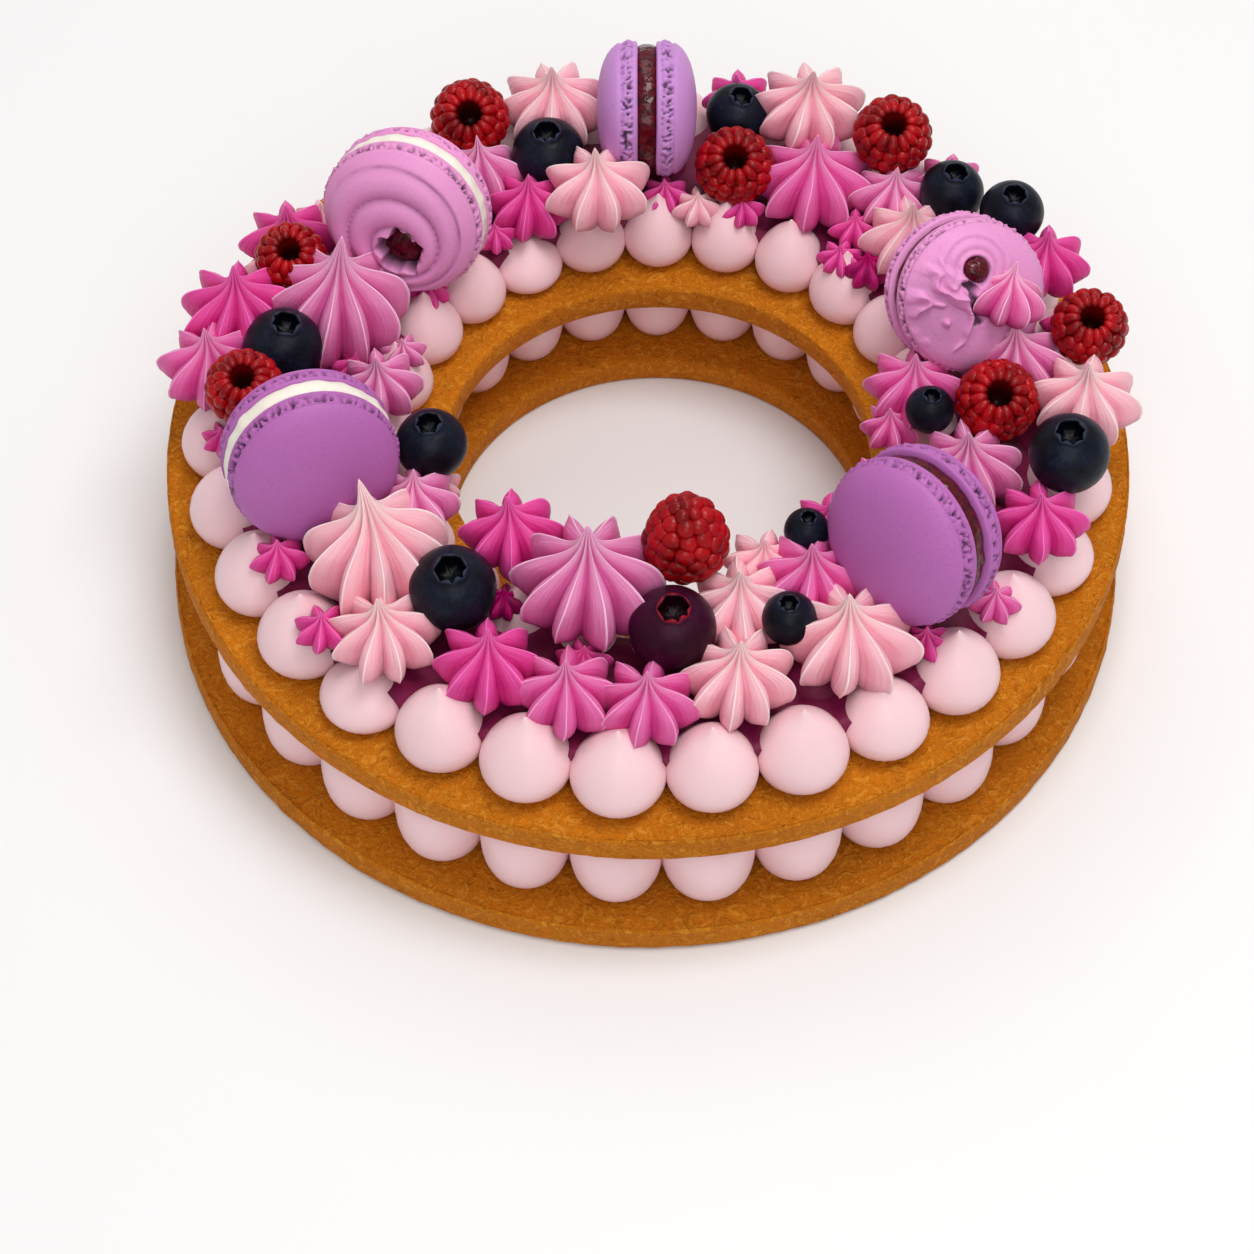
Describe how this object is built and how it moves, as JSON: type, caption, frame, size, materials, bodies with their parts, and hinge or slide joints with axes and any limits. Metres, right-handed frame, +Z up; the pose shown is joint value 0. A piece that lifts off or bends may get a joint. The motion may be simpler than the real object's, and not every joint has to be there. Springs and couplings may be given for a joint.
{
  "type": "cream tart",
  "caption": "Round two-storey ring tart: biscuit rings with piped cream kisses, topped with a wreath of macarons, berries and piped cream swirls.",
  "frame": {"origin": "middle of the underside of the box round the whole tart", "axes": "+Z up; the tart is seen from -Y in the picture, with +X to the right"},
  "size_m": [0.2206, 0.223, 0.0894],
  "materials": {
    "biscuit": "baked golden-brown crumb",
    "kiss_cream": "soft pale pink piped cream",
    "pale_cream": "pale peach-pink piped cream",
    "rose_cream": "rose piped cream",
    "magenta_cream": "magenta piped cream",
    "macaron": "satin lilac shell with a fine speckle",
    "raspberry": "moist red drupelets",
    "blueberry": "dark skin with a grey-blue bloom"
  },
  "bodies": {
    "root": {"biscuit_lower": "biscuit", "cream_lower": "kiss_cream", "biscuit_upper": "biscuit", "cream_upper": "kiss_cream", "macaron_1": "macaron", "macaron_2": "macaron", "macaron_3": "macaron", "macaron_4": "macaron", "macaron_5": "macaron", "raspberry_1": "raspberry", "raspberry_2": "raspberry", "raspberry_3": "raspberry", "raspberry_4": "raspberry", "raspberry_5": "raspberry", "raspberry_6": "raspberry", "raspberry_7": "raspberry", "raspberry_8": "raspberry", "blueberry_1": "blueberry", "blueberry_2": "blueberry", "blueberry_3": "blueberry", "blueberry_4": "blueberry", "blueberry_5": "blueberry", "blueberry_6": "blueberry", "blueberry_7": "blueberry", "blueberry_8": "blueberry", "blueberry_9": "blueberry", "blueberry_10": "blueberry", "blueberry_11": "blueberry", "blueberry_12": "blueberry", "swirl_1": "pale_cream", "swirl_2": "pale_cream", "swirl_3": "rose_cream", "swirl_4": "pale_cream", "swirl_5": "rose_cream", "swirl_6": "pale_cream", "swirl_7": "rose_cream", "swirl_8": "pale_cream", "swirl_9": "rose_cream", "swirl_10": "magenta_cream", "swirl_11": "rose_cream", "swirl_12": "pale_cream", "swirl_13": "magenta_cream", "swirl_14": "magenta_cream", "swirl_15": "rose_cream", "swirl_16": "magenta_cream", "swirl_17": "rose_cream", "swirl_18": "rose_cream", "swirl_19": "magenta_cream", "swirl_20": "pale_cream", "swirl_21": "rose_cream", "swirl_22": "magenta_cream", "swirl_23": "rose_cream", "swirl_24": "magenta_cream", "swirl_25": "pale_cream", "swirl_26": "rose_cream", "swirl_27": "pale_cream", "swirl_28": "magenta_cream", "swirl_29": "rose_cream", "swirl_30": "magenta_cream", "swirl_31": "pale_cream"}
  },
  "joints": []
}
